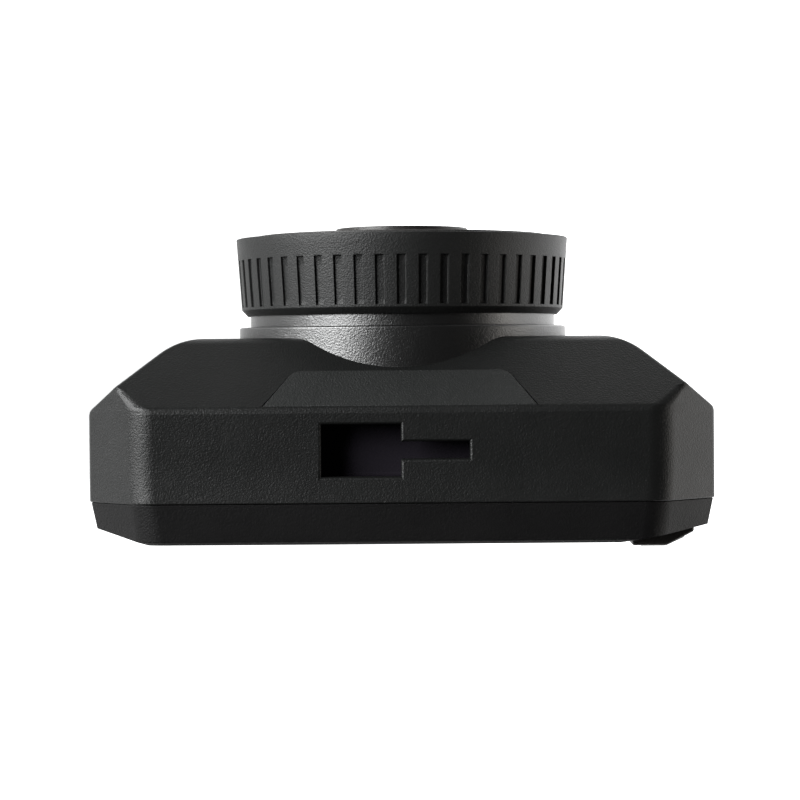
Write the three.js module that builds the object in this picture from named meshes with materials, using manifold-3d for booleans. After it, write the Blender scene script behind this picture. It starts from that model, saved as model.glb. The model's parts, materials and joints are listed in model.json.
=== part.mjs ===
// Dash camera: an eight-sided body with a knurled lens ring in front and a small screen
// with five keys behind. Sizes are millimetres. While a piece is drawn, x runs to the
// right seen from the front, y runs back from the front plane of the body and z runs up
// from the lens axis. `place` then sets the camera standing on its flat underside.
import * as THREE from 'three';
import { mergeVertices } from 'three/addons/utils/BufferGeometryUtils.js';
import Module from 'manifold-3d';

const wasm = await Module();
wasm.setup();

// ---- driving dimensions ------------------------------------------------------------
const bodyWidth = 80;
const bodyHeight = 55;
const bodyDepth = 26; // front plane to rear plane
const wall = 1.8;
const cornerCut = 7.3; // how much each long corner is cut off, seen from the front
const cornerRadius = 3;
const slopeDepth = 9.25; // where the front slopes reach the full size of the body
const topSlopeAngle = THREE.MathUtils.degToRad(45);
const sideSlopeAngle = THREE.MathUtils.degToRad(38.9);
const seam = 20.8; // parting line between the front shell and the rear cover
const seamGap = 0.2;
const coverInset = 0.2; // the cover is this much smaller all round
const coverDraft = 0.21; // its side walls lean in by this much per millimetre
const bevelDrop = 2; // the side bevels of the cover fall this far short of the rear plane
const keyBevel = 11; // width taken up by the bevel that carries the keys
const lipLength = 1.5;
const lipThickness = 0.9;

const bossRadius = 22.1;
const bossFront = -1.5;
const bossRear = 7;
const neckRadius = 20.6;
const neckBore = 19;
const neckFront = -12.1;
const ringRadius = 22.45;
const ringRearRadius = 21.78;
const ringFront = -13.4;
const ringRear = -3;
const ringBand = 2.9; // plain band ahead of the grooves
const grooveCount = 50;
const grooveWidth = 1.15;
const grooveDepth = 0.45;
const grooveRear = -4.2;
const plateRadius = 19.8;
const plateFront = -13.75;
const plateThickness = 1.55;
const bezelRadius = 8.9;
const bezelFront = -14.8;
const turningGap = 0.3; // round every piece that turns or slides
const fitGap = 0.15; // between pieces that are fixed together

const mouthLeft = -0.1; // square end of the bracket slot
const mouthRight = 9.9;
const mouthFront = 10.95;
const mouthRear = 17.5;
const slotEnd = -8.7; // closed end of the narrow part
const slotWidth = 2.15;
const pocketFloor = 22.4; // height of the pocket floor above the lens axis

const padFront = 22.75; // height on the slope where the raised pad begins
const padTopHalf = 13.5; // half width of the pad at the lens end
const padBottomHalf = 17.2;
const padProud = 0.45;

const boardFront = 17;
const boardRear = 18.2;
const boardWidth = 73;
const boardHeight = 40;
const screenCentre = 1.9; // the screen sits off centre to leave room for the keys
const windowWidth = 54;
const windowHeight = 40;
const viewWidth = 49;
const viewHeight = 36.7;
const panelFront = 21.9;

const keyCentre = -33.4;
const keyPitch = 7.6;
const keyWidth = 5.8;
const keyHeight = 5.9;
const keyProud = 1.15; // how far the keys stand out behind the rear plane
const stripProud = 0.95;
const keyFlatEnd = -33.9; // the strip and the keys are flat up to here and slope down beyond
const keyStripWidth = 7.9;
const keyNames = ['power', 'menu', 'up', 'down', 'record'];

const postX = 30.5;
const postZ = 23;
const postRadius = 2.8;
const screwRadius = 1;
const screwHeadRadius = 1.9;

const depthCentre = (bodyDepth + keyProud + bezelFront) / 2;

// ---- finishes ----------------------------------------------------------------------
const finish = (color, roughness, metalness = 0) =>
  new THREE.MeshStandardMaterial({ color, roughness, metalness });
const finishes = {
  shell: finish(0x1c1d20, 0.62),
  cover: finish(0x17181b, 0.66),
  ring: finish(0x232529, 0.42),
  plate: finish(0x141518, 0.55),
  bezel: finish(0x0e0f11, 0.3),
  pad: finish(0x2a2c30, 0.5),
  glass: finish(0x20262c, 0.05),
  lens: finish(0x2b3140, 0.04),
  barrel: finish(0x101113, 0.45),
  board: finish(0x14432c, 0.5),
  chip: finish(0x131416, 0.4),
  steel: finish(0x9a9da1, 0.35, 1),
  foil: finish(0x8d9399, 0.45, 0.6),
  flex: finish(0x8a4b16, 0.5),
  white: finish(0xd9d9d2, 0.6),
  key: finish(0x1f2023, 0.5),
};

// ---- drawing helpers ---------------------------------------------------------------
// A closed outline through [x, y, radius] corners; with no radius the corner is sharp.
function outline(corners) {
  const shape = new THREE.Shape();
  corners.forEach(([x, y, radius = 0], i) => {
    const here = new THREE.Vector2(x, y);
    const back = new THREE.Vector2(...corners.at(i - 1)).sub(here).normalize();
    const ahead = new THREE.Vector2(...corners[(i + 1) % corners.length]).sub(here).normalize();
    const setback = radius / Math.tan(back.angleTo(ahead) / 2);
    const start = back.multiplyScalar(setback).add(here);
    const end = ahead.multiplyScalar(setback).add(here);
    if (i === 0) shape.moveTo(start.x, start.y);
    else shape.lineTo(start.x, start.y);
    if (radius > 0) shape.quadraticCurveTo(x, y, end.x, end.y);
  });
  return shape;
}

// The same convex corners moved inwards, with their rounding reduced to match.
function insetCorners(corners, distance) {
  return corners.map(([x, y, radius = 0], i) => {
    const here = new THREE.Vector2(x, y);
    const back = new THREE.Vector2(...corners.at(i - 1)).sub(here).normalize();
    const ahead = new THREE.Vector2(...corners[(i + 1) % corners.length]).sub(here).normalize();
    const reach = distance / Math.sin(back.angleTo(ahead) / 2);
    const moved = back.add(ahead).normalize().multiplyScalar(reach).add(here);
    return [moved.x, moved.y, Math.max(radius - distance, 0)];
  });
}

const swapAxes = (corners) => corners.map(([x, y, radius]) => [y, x, radius]);

const rectangle = (x0, x1, y0, y1, radius = 0) => [
  [x0, y0, radius],
  [x1, y0, radius],
  [x1, y1, radius],
  [x0, y1, radius],
];

// A closed solid from any three.js geometry.
function solid(geometry) {
  const bare = new THREE.BufferGeometry();
  bare.setAttribute('position', geometry.getAttribute('position'));
  bare.setIndex(geometry.getIndex());
  const merged = mergeVertices(bare, 1e-4);
  const index = merged.getIndex().array;
  const triangles = [];
  for (let i = 0; i < index.length; i += 3) {
    const [a, b, c] = index.slice(i, i + 3);
    if (a !== b && b !== c && c !== a) triangles.push(a, b, c);
  }
  const build = (triVerts) => new wasm.Manifold(new wasm.Mesh({
    numProp: 3,
    vertProperties: new Float32Array(merged.getAttribute('position').array),
    triVerts: new Uint32Array(triVerts),
  }));
  const made = build(triangles);
  return made.volume() > 0 ? made : build(triangles.reverse());
}

function extruded(corners, length, basis) {
  const geometry = new THREE.ExtrudeGeometry(outline(corners), {
    depth: length,
    bevelEnabled: false,
    curveSegments: 5,
  });
  return geometry.applyMatrix4(new THREE.Matrix4().makeBasis(...basis));
}

const xAxis = new THREE.Vector3(1, 0, 0);
const yAxis = new THREE.Vector3(0, 1, 0);
const zAxis = new THREE.Vector3(0, 0, 1);

// Prisms: corners in [y, z] run along x, in [x, z] along y, in [x, y] along z.
const prismX = (corners, x0, x1) =>
  solid(extruded(corners, x1 - x0, [yAxis, zAxis, xAxis]).translate(x0, 0, 0));
const prismY = (corners, y0, y1) =>
  solid(extruded(corners, y1 - y0, [xAxis, zAxis, yAxis.clone().negate()]).translate(0, y1, 0));
const prismZ = (corners, z0, z1) =>
  solid(extruded(corners, z1 - z0, [xAxis, yAxis, zAxis]).translate(0, 0, z0));

// A block between two opposite corners.
function block([x0, y0, z0], [x1, y1, z1]) {
  const geometry = new THREE.BoxGeometry(x1 - x0, y1 - y0, z1 - z0);
  return solid(geometry.translate((x0 + x1) / 2, (y0 + y1) / 2, (z0 + z1) / 2));
}

// A turned piece about an axis parallel to y: profile of [radius, y] points.
function turned(profile, segments = 48, [x, z] = [0, 0]) {
  const points = profile.map(([radius, y]) => new THREE.Vector2(radius, y));
  return solid(new THREE.LatheGeometry(points, segments).translate(x, 0, z));
}

const rod = (radius, y0, y1, at = [0, 0], segments = 24) =>
  turned([[0, y0], [radius, y0], [radius, y1], [0, y1]], segments, at);

// A rod standing along z, for holes through the underside.
function standingRod(radius, x, y, z0, z1) {
  const geometry = new THREE.CylinderGeometry(radius, radius, z1 - z0, 16);
  return solid(geometry.rotateX(Math.PI / 2).translate(x, y, (z0 + z1) / 2));
}

const joined = (solids) => solids.reduce((whole, piece) => whole.add(piece));
const cut = (whole, tools) => tools.reduce((rest, tool) => rest.subtract(tool), whole);

const camera = new THREE.Group();
camera.name = 'dash_camera';

function place(name, piece, material) {
  const { numProp, vertProperties, triVerts } = piece.getMesh();
  const geometry = new THREE.BufferGeometry();
  const positions = Array.from(vertProperties).filter((_, i) => i % numProp < 3);
  geometry.setAttribute('position', new THREE.Float32BufferAttribute(positions, 3));
  geometry.setIndex(Array.from(triVerts));
  geometry.translate(0, -depthCentre, bodyHeight / 2);
  const mesh = new THREE.Mesh(geometry, material);
  mesh.name = name;
  camera.add(mesh);
}

// ---- body --------------------------------------------------------------------------
const octagon = (() => {
  const halfWidth = bodyWidth / 2;
  const halfHeight = bodyHeight / 2;
  const quarter = [
    [halfWidth, halfHeight - cornerCut],
    [halfWidth - cornerCut, halfHeight],
  ];
  const top = [...quarter, ...quarter.map(([x, z]) => [-x, z]).reverse()];
  const bottom = top.map(([x, z]) => [x, -z]).reverse();
  return [...top, ...bottom].map(([x, z]) => [x, z, cornerRadius]);
})();

// Front flat, slope and straight side of the body, mirrored: [across, y] corners.
function slopedProfile(halfSpan, angle, frontRadius, shoulderRadius) {
  const flatHalf = halfSpan - slopeDepth / Math.tan(angle);
  const rear = bodyDepth + 10;
  return [
    [-flatHalf, 0, frontRadius],
    [flatHalf, 0, frontRadius],
    [halfSpan, slopeDepth, shoulderRadius],
    [halfSpan, rear],
    [-halfSpan, rear],
    [-halfSpan, slopeDepth, shoulderRadius],
  ];
}

function bodyBlock(inset, rear) {
  const plan = slopedProfile(bodyWidth / 2, sideSlopeAngle, 8.7, 4);
  const side = slopedProfile(bodyHeight / 2, topSlopeAngle, 2.5, 1.5);
  const across = prismY(insetCorners(octagon, inset), 0, rear);
  const planCut = prismZ(insetCorners(plan, inset), -bodyHeight, bodyHeight);
  const sideCut = prismX(swapAxes(insetCorners(side, inset)), -bodyWidth, bodyWidth);
  return across.intersect(planCut).intersect(sideCut);
}

// Rear cover seen from above: drafted sides, shallow bevels and a flat back. The bevel
// on the key side is wider.
const coverHalf = (y) => bodyWidth / 2 - coverInset - coverDraft * (y - seam);
const coverPlan = [
  [-coverHalf(seam - 10), seam - 10],
  [coverHalf(seam - 10), seam - 10],
  [coverHalf(bodyDepth - bevelDrop), bodyDepth - bevelDrop, 1.5],
  [bodyWidth / 2 - 8, bodyDepth, 2],
  [-bodyWidth / 2 + keyBevel, bodyDepth, 2],
  [-coverHalf(bodyDepth - bevelDrop), bodyDepth - bevelDrop, 1.5],
];

const coverSide = [
  [seam - 10, bodyHeight / 2 + 0.6],
  [seam - 10, -bodyHeight / 2 - 0.6],
  [bodyDepth, -bodyHeight / 2 + 0.7, 1.4],
  [bodyDepth, bodyHeight / 2 - 0.7, 1.4],
];

function coverBlock(inset, front) {
  const across = prismY(insetCorners(octagon, coverInset + inset), front, bodyDepth);
  const planCut = prismZ(insetCorners(coverPlan, inset), -bodyHeight, bodyHeight);
  const sideCut = prismX(insetCorners(coverSide, inset), -bodyWidth, bodyWidth);
  return across.intersect(planCut).intersect(sideCut);
}

// Depth of the outer surface of the key-side bevel at a given x.
function bevelDepth(x) {
  const start = -bodyWidth / 2 + keyBevel;
  const end = -coverHalf(bodyDepth - bevelDrop);
  return bodyDepth - (bevelDrop * (start - x)) / (start - end);
}

const postPlaces = [-postX, postX].flatMap((x) => [-postZ, postZ].map((z) => [x, z]));

// Raised pad on the upper slope, drawn flat and turned onto the slope.
function slopePad(gap, bottom, top) {
  const slopeLength = (bodyHeight / 2 - padFront) / Math.sin(topSlopeAngle) - 0.5;
  const corners = [
    [-padBottomHalf - gap, -gap],
    [padBottomHalf + gap, -gap],
    [padTopHalf + gap, slopeLength + gap, 2],
    [-padTopHalf - gap, slopeLength + gap, 2],
  ];
  const geometry = new THREE.ExtrudeGeometry(outline(corners), {
    depth: top - bottom,
    bevelEnabled: false,
    curveSegments: 4,
  });
  const across = xAxis.clone().negate();
  const alongSlope = new THREE.Vector3(0, -Math.cos(topSlopeAngle), -Math.sin(topSlopeAngle));
  const outOfSlope = new THREE.Vector3(0, -Math.sin(topSlopeAngle), Math.cos(topSlopeAngle));
  geometry.translate(0, 0.5, bottom);
  geometry.applyMatrix4(new THREE.Matrix4().makeBasis(across, alongSlope, outOfSlope));
  return solid(geometry.translate(0, slopeDepth, bodyHeight / 2));
}

const usb = { front: 13, rear: boardFront - 0.1, halfHeight: 3.85, inner: 29.2, outer: 38 };
const card = { front: 15.5, rear: boardFront - 0.1, halfHeight: 7, inner: -22, outer: -36.2 };
const speaker = { x: 20, y: 13.4, length: 15, width: 6.4, top: -22.2, bottom: -25.5 };
const microphone = { x: -20, y: 13.4, radius: 2, top: -24, bottom: -25.5 };

function frontShell() {
  const underside = -bodyHeight / 2;
  const portHoles = [
    block([usb.outer - 1, usb.front - 0.35, -4.3], [bodyWidth, usb.rear - 0.05, 4.3]),
    block([-bodyWidth, card.front, -5.8], [card.outer + 1, card.front + 1.3, 5.8]),
  ];
  const soundHoles = Array.from({ length: 6 }, (_, i) =>
    standingRod(0.6, speaker.x + (i - 2.5) * 2.1, speaker.y, underside - 1, underside + 3));
  const voiceHole = standingRod(0.6, microphone.x, microphone.y, underside - 1, underside + 3);
  const posts = postPlaces.map((at) => rod(postRadius, 9.5, seam - 0.1, at));
  const screwHoles = postPlaces.map((at) => rod(screwRadius + 0.15, 12, seam + 1, at, 16));
  const hollow = cut(bodyBlock(0, seam), [bodyBlock(wall, seam + 1)]);
  const boss = rod(bossRadius, bossFront, bossRear, [0, 0], 72);
  const bracketSlot = [
    block([mouthLeft, mouthFront, 20], [mouthRight, mouthRear, 40]),
    block([slotEnd, 14.2 - slotWidth / 2, 20], [mouthLeft + 1, 14.2 + slotWidth / 2, 40]),
  ];
  return cut(joined([hollow, boss, ...posts]), [
    rod(neckRadius + fitGap, bossFront - 1, bossRear + 1, [0, 0], 72),
    slopePad(0.1, -0.6, 5),
    ...bracketSlot,
    ...portHoles,
    ...soundHoles,
    voiceHole,
    ...screwHoles,
  ]);
}

function bracketPocket() {
  const top = bodyHeight / 2 - wall - 0.1;
  const outside = block([slotEnd - 1.4, mouthFront - 0.85, pocketFloor - 1],
    [mouthRight + 0.9, mouthRear + 0.9, top]);
  const inside = block([slotEnd - 0.6, mouthFront - 0.05, pocketFloor],
    [mouthRight + 0.1, mouthRear + 0.1, top + 1]);
  return outside.subtract(inside);
}

function rearCover() {
  const innerFace = bodyDepth - wall;
  const lipOuter = wall + fitGap;
  const lip = cut(prismY(insetCorners(octagon, lipOuter), seam - lipLength, seam + 1.6), [
    prismY(insetCorners(octagon, lipOuter + lipThickness), seam - 5, seam + 5),
  ]);
  const hollow = cut(coverBlock(0, seam + seamGap), [coverBlock(wall, seam - 1)]);
  const columns = postPlaces.map((at) => rod(postRadius, seam + seamGap, innerFace + 0.5, at));
  const roomForPosts = postPlaces.map((at) =>
    rod(postRadius + 0.2, seam - 5, seam + seamGap, at));
  const screwHoles = postPlaces.map((at) => rod(screwRadius + 0.15, seam - 1, bodyDepth + 1, at));
  const headHoles = postPlaces.map((at) =>
    rod(screwHeadRadius + fitGap, 23.6, bodyDepth + 1, at));
  const left = screenCentre - windowWidth / 2;
  const right = screenCentre + windowWidth / 2;
  const windowRecess = prismY(
    rectangle(left - 0.1, right + 0.1, -windowHeight / 2 - 0.1, windowHeight / 2 + 0.1, 1.5),
    bodyDepth - 1.2, bodyDepth + 1);
  const screenOpening = block([screenCentre - viewWidth / 2 - 0.5, 20, -viewHeight / 2 - 0.5],
    [screenCentre + viewWidth / 2 + 0.5, bodyDepth + 1, viewHeight / 2 + 0.5]);
  const stripHalf = keyStripWidth / 2 + fitGap;
  const keyOpening = block([keyCentre - stripHalf, 20, -20.2], [keyCentre + stripHalf, 30, 20.2]);
  return cut(joined([hollow, cut(lip, roomForPosts), ...columns]), [
    ...screwHoles,
    ...headHoles,
    windowRecess,
    screenOpening,
    keyOpening,
  ]);
}

// ---- lens --------------------------------------------------------------------------
function lensNeck() {
  return turned([
    [neckBore, neckFront],
    [neckRadius, neckFront],
    [neckRadius, bossRear + 0.2],
    [neckRadius + 1.8, bossRear + 0.2],
    [neckRadius + 1.8, bossRear + 1.6],
    [neckBore, bossRear + 1.6],
    [neckBore, neckFront],
  ], 72);
}

function lensRing() {
  const blank = turned([
    [plateRadius + turningGap, ringFront],
    [ringRadius - 0.15, ringFront],
    [ringRadius, ringFront + 0.15],
    [ringRearRadius, grooveRear + 0.3],
    [ringRearRadius - 0.8, ringRear],
    [neckRadius + turningGap, ringRear],
    [neckRadius + turningGap, neckFront - turningGap],
    [plateRadius + turningGap, neckFront - turningGap],
    [plateRadius + turningGap, ringFront],
  ], grooveCount * 2);
  const taper = (ringRadius - ringRearRadius) / (grooveRear + 0.3 - ringFront);
  const grooveMiddle = (grooveRear + ringFront + ringBand) / 2;
  const landRadius = ringRadius - taper * (grooveMiddle - ringFront);
  const grooves = Array.from({ length: grooveCount }, (_, i) => {
    const groove = new THREE.BoxGeometry(grooveWidth, grooveRear - ringFront - ringBand, 2);
    groove.rotateX(-Math.atan(taper));
    groove.translate(0, grooveMiddle, landRadius - grooveDepth + 1);
    return solid(groove.rotateY((i / grooveCount) * 2 * Math.PI));
  });
  return cut(blank, grooves);
}

function frontPlate() {
  const rear = plateFront + plateThickness;
  const hole = bezelRadius + fitGap;
  return turned([
    [hole, plateFront],
    [plateRadius - 0.15, plateFront],
    [plateRadius, plateFront + 0.15],
    [plateRadius, rear],
    [neckBore - fitGap, rear],
    [neckBore - fitGap, rear + 1.2],
    [neckBore - 2, rear + 1.2],
    [neckBore - 2, rear],
    [hole, rear],
    [hole, plateFront],
  ], 56);
}

function lensBezel() {
  return turned([
    [5.6, bezelFront + 1.6],
    [7.2, bezelFront + 0.3],
    [bezelRadius - 0.15, bezelFront],
    [bezelRadius, bezelFront + 0.15],
    [bezelRadius, plateFront + plateThickness + 1],
    [7.3, plateFront + plateThickness + 1],
    [7.3, bezelFront + 2.4],
    [5.6, bezelFront + 2.4],
    [5.6, bezelFront + 1.6],
  ], 40);
}

const coverGlass = () => rod(7.15, bezelFront + 2.5, bezelFront + 3.5, [0, 0], 48);

function lensBarrel() {
  return turned([
    [5.7, -11],
    [7.1, -11],
    [7.1, 4],
    [6, 4],
    [6, 10.5],
    [4.3, 10.5],
    [4.3, -6.6],
    [5.7, -6.6],
    [5.7, -11],
  ], 32);
}

// A lens element: convex towards the front, slightly hollow behind.
function lensElement(radius, front, thickness, bulge) {
  const steps = 4;
  const along = (i) => radius * (1 - i / steps);
  const domed = Array.from({ length: steps }, (_, i) => {
    const r = along(steps - i);
    return [r, front + bulge * (r / radius) ** 2];
  });
  const hollow = Array.from({ length: steps }, (_, i) => {
    const r = along(i + 1);
    return [r, front + thickness + bulge * 0.3 * ((r / radius) ** 2 - 1)];
  });
  return turned([...domed, [radius, front + bulge], [radius, front + thickness], ...hollow], 24);
}

function lensHolder() {
  const base = block([-9, 6.5, -9], [9, 13, 9]);
  const collar = rod(7.4, 4.2, 7, [0, 0], 40);
  const bore = rod(6.15, 3, 11, [0, 0], 40);
  return cut(base.add(collar), [bore, block([-6, 10.8, -6], [6, 14, 6])]);
}

// ---- electronics -------------------------------------------------------------------
const sensorBoard = () => block([-10, 13.1, -10], [10, 14.1, 10]);
const imageSensor = () => block([-4.2, 12, -3.6], [4.2, 13, 3.6]);
const boardConnector = () => block([-6, 14.2, -8], [6, boardFront - 0.1, -4]);

function mainBoard() {
  const plate = prismY(
    rectangle(-boardWidth / 2, boardWidth / 2, -boardHeight / 2, boardHeight / 2, 1.5),
    boardFront, boardRear);
  return cut(plate, [
    rod(1.3, boardFront - 1, boardRear + 1, [-24, 17], 16),
    rod(1.3, boardFront - 1, boardRear + 1, [24, 17], 16),
  ]);
}

const processor = () => block([4, boardRear + 0.1, -2], [18, boardRear + 1.3, 12]);
const memoryChip = () => block([-14, boardRear + 0.1, 2], [-4, boardRear + 1.1, 10]);
const powerCoil = () => rod(3.2, 13.6, boardFront - 0.1, [22, 10], 24);

function battery() {
  const pouch = prismY(rectangle(-34, -12, -16, 16, 1.5), 9.8, 14.8);
  const seal = block([-29, 11.9, 15.5], [-17, 12.7, 18.5]);
  return pouch.add(seal);
}

function speakerUnit() {
  const halfLength = speaker.length / 2;
  const halfWidth = speaker.width / 2;
  const corners = rectangle(speaker.x - halfLength, speaker.x + halfLength,
    speaker.y - halfWidth, speaker.y + halfWidth, 1.6);
  return prismZ(corners, speaker.bottom, speaker.top);
}

const microphoneUnit = () =>
  standingRod(microphone.radius, microphone.x, microphone.y, microphone.bottom, microphone.top);

function usbSocket() {
  const outside = block([usb.inner, usb.front, -usb.halfHeight], [usb.outer, usb.rear, usb.halfHeight]);
  const mouth = block([usb.inner + 1, usb.front + 0.4, -usb.halfHeight + 0.4],
    [usb.outer + 1, usb.rear - 0.4, usb.halfHeight - 0.4]);
  const tongue = block([usb.inner + 0.5, usb.front + 1.5, -2.6], [usb.outer - 1.5, usb.front + 2.3, 2.6]);
  return cut(outside, [mouth]).add(tongue);
}

function cardSocket() {
  const outside = block([card.outer, card.front, -card.halfHeight], [card.inner, card.rear, card.halfHeight]);
  const mouth = block([card.outer - 1, card.front + 0.25, -5.6], [card.inner - 1, card.rear - 0.3, 5.6]);
  return outside.subtract(mouth);
}

// ---- screen ------------------------------------------------------------------------
function displayWindow() {
  const half = windowWidth / 2;
  const corners = rectangle(screenCentre - half, screenCentre + half,
    -windowHeight / 2, windowHeight / 2, 1.5);
  return prismY(corners, bodyDepth - 1.1, bodyDepth - 0.1);
}

const screenBox = (front, rear, halfWidth, halfHeight) =>
  block([screenCentre - halfWidth, front, -halfHeight], [screenCentre + halfWidth, rear, halfHeight]);

function screenFrame() {
  const outside = screenBox(panelFront, 24.1, 28, 20);
  return outside.subtract(screenBox(panelFront + 0.6, 25, 26.4, 19.2));
}

const screenPanel = () => screenBox(panelFront + 1.3, 24.1, 26.2, 19);
const backlight = () => screenBox(panelFront + 0.7, panelFront + 1.2, 26.2, 19);
const screenConnector = () => block([-8, boardRear + 0.1, -12], [8, boardRear + 1.3, -8.5]);

// Ribbon from the screen round to its connector: a flat strip folded into a U.
function screenRibbon() {
  const thickness = 0.25;
  const outerFace = panelFront - 0.1;
  const innerEnd = boardRear + 0.3;
  const radius = (outerFace - innerEnd) / 2;
  const centreY = (outerFace + innerEnd) / 2;
  const bend = -16;
  const shape = new THREE.Shape();
  shape.moveTo(outerFace, -10);
  shape.lineTo(outerFace, bend);
  shape.absarc(centreY, bend, radius, 0, -Math.PI, true);
  shape.lineTo(innerEnd, -12.2);
  shape.lineTo(innerEnd + thickness, -12.2);
  shape.lineTo(innerEnd + thickness, bend);
  shape.absarc(centreY, bend, radius - thickness, -Math.PI, 0, false);
  shape.lineTo(outerFace - thickness, -10);
  const geometry = new THREE.ExtrudeGeometry(shape, {
    depth: 14,
    bevelEnabled: false,
    curveSegments: 10,
  });
  geometry.applyMatrix4(new THREE.Matrix4().makeBasis(yAxis, zAxis, xAxis));
  return solid(geometry.translate(-7, 0, 0));
}

// ---- keys --------------------------------------------------------------------------
const keyHeights = keyNames.map((_, i) => (2 - i) * keyPitch);

// Strip let into the key-side bevel and standing proud of it: flat beside the screen,
// sloping down towards the side.
function keyStrip() {
  const left = keyCentre - keyStripWidth / 2;
  const right = keyCentre + keyStripWidth / 2;
  const top = bodyDepth + stripProud;
  const corners = [
    [left, top - 1.8, 0.3],
    [keyFlatEnd, top, 1.5],
    [right, top, 0.2],
    [right, bevelDepth(right) - 1.6],
    [left, bevelDepth(left) - 1.6],
  ];
  const openings = keyHeights.map((z) => block(
    [keyCentre - keyWidth / 2 - 0.3, 15, z - keyHeight / 2 - 0.3],
    [keyCentre + keyWidth / 2 + 0.3, 30, z + keyHeight / 2 + 0.3]));
  return cut(prismZ(corners, -20, 20), openings);
}

function key(z) {
  const left = keyCentre - keyWidth / 2;
  const right = keyCentre + keyWidth / 2;
  const capTop = bodyDepth + keyProud;
  const cap = prismZ([
    [left, capTop - 1.1, 0.3],
    [keyFlatEnd, capTop, 1.2],
    [right, capTop, 0.3],
    [right, bevelDepth(right) - 2],
    [left, bevelDepth(left) - 2],
  ], z - keyHeight / 2, z + keyHeight / 2);
  const flange = prismZ([
    [left - 0.5, bevelDepth(left - 0.5) - 1.7],
    [right + 0.5, bevelDepth(right + 0.5) - 1.7],
    [right + 0.5, bevelDepth(right + 0.5) - 2.4],
    [left - 0.5, bevelDepth(left - 0.5) - 2.4],
  ], z - keyHeight / 2 - 0.5, z + keyHeight / 2 + 0.5);
  const stem = rod(1.2, 21.9, 24, [keyCentre, z], 20);
  return joined([cap, flange, stem]);
}

function tactSwitch(z) {
  const base = block([keyCentre - 2.25, boardRear + 0.1, z - 2.25],
    [keyCentre + 2.25, boardRear + 2, z + 2.25]);
  return base.add(rod(1.1, boardRear + 1, 21.3, [keyCentre, z], 20));
}

function caseScrew(at) {
  const recess = block([-0.3, 24.2, -1.1], [0.3, 26, 1.1]).add(block([-1.1, 24.2, -0.3], [1.1, 26, 0.3]));
  const body = turned([[0, 13], [screwRadius, 13.6], [screwRadius, 23.7], [screwHeadRadius, 23.7],
    [screwHeadRadius, 24.6], [1.4, 25], [0, 25]], 16);
  return body.subtract(recess).translate(at[0], 0, at[1]);
}

// ---- assembly ----------------------------------------------------------------------
place('front_shell', frontShell(), finishes.shell);
place('rear_cover', rearCover(), finishes.cover);
place('bracket_pocket', bracketPocket(), finishes.cover);
place('slope_pad', slopePad(0, -0.5, padProud), finishes.pad);
place('lens_neck', lensNeck(), finishes.shell);
place('lens_ring', lensRing(), finishes.ring);
place('lens_front_plate', frontPlate(), finishes.plate);
place('lens_bezel', lensBezel(), finishes.bezel);
place('lens_cover_glass', coverGlass(), finishes.glass);
place('lens_barrel', lensBarrel(), finishes.barrel);
place('front_lens_element', lensElement(5.55, -10.8, 4, 2.4), finishes.lens);
place('rear_lens_element', lensElement(4.15, 5, 3, 1), finishes.lens);
place('lens_holder', lensHolder(), finishes.barrel);
place('image_sensor', imageSensor(), finishes.chip);
place('sensor_board', sensorBoard(), finishes.board);
place('board_connector', boardConnector(), finishes.white);
place('main_board', mainBoard(), finishes.board);
place('processor_chip', processor(), finishes.chip);
place('memory_chip', memoryChip(), finishes.chip);
place('power_coil', powerCoil(), finishes.chip);
place('battery', battery(), finishes.foil);
place('speaker', speakerUnit(), finishes.foil);
place('microphone', microphoneUnit(), finishes.foil);
place('usb_socket', usbSocket(), finishes.steel);
place('card_socket', cardSocket(), finishes.steel);
place('display_window', displayWindow(), finishes.glass);
place('screen_frame', screenFrame(), finishes.steel);
place('screen_panel', screenPanel(), finishes.glass);
place('screen_backlight', backlight(), finishes.white);
place('screen_connector', screenConnector(), finishes.white);
place('screen_ribbon', screenRibbon(), finishes.flex);
place('key_strip', keyStrip(), finishes.cover);
keyNames.forEach((name, i) => {
  place(`${name}_key`, key(keyHeights[i]), finishes.key);
  place(`${name}_switch`, tactSwitch(keyHeights[i]), finishes.chip);
});
const screwNames = ['lower_left', 'upper_left', 'lower_right', 'upper_right'];
postPlaces.forEach((at, i) => {
  place(`case_screw_${screwNames[i]}`, caseScrew(at), finishes.steel);
});

export default camera;
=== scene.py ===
"""Dash camera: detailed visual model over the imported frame.

Lengths in the shape functions are millimetres. There x runs to the right seen from the
front, y runs back from the front plane of the body and z runs up from the lens axis;
`to_row` turns such a point into the frame's metres.
"""
import json
import math

import bmesh
import bpy
from mathutils import Matrix, Vector


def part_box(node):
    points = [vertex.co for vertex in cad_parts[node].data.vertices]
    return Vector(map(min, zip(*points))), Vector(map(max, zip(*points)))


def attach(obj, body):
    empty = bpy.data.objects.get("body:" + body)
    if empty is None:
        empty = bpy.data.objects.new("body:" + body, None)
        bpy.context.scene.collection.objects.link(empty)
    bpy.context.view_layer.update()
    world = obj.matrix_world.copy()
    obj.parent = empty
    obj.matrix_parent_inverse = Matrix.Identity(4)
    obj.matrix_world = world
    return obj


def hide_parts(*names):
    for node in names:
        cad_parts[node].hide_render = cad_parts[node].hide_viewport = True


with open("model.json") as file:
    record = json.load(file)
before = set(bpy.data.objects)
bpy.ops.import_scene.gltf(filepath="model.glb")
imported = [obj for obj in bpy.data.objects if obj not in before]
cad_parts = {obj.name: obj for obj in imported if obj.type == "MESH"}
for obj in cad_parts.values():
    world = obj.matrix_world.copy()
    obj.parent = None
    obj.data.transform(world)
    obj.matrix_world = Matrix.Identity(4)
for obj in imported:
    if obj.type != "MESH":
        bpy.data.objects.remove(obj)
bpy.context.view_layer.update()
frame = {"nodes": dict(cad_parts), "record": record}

# ---- sizes -------------------------------------------------------------------------
MM = 0.001
shell_low, shell_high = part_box("front_shell")
cover_low, cover_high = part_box("rear_cover")

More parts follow.
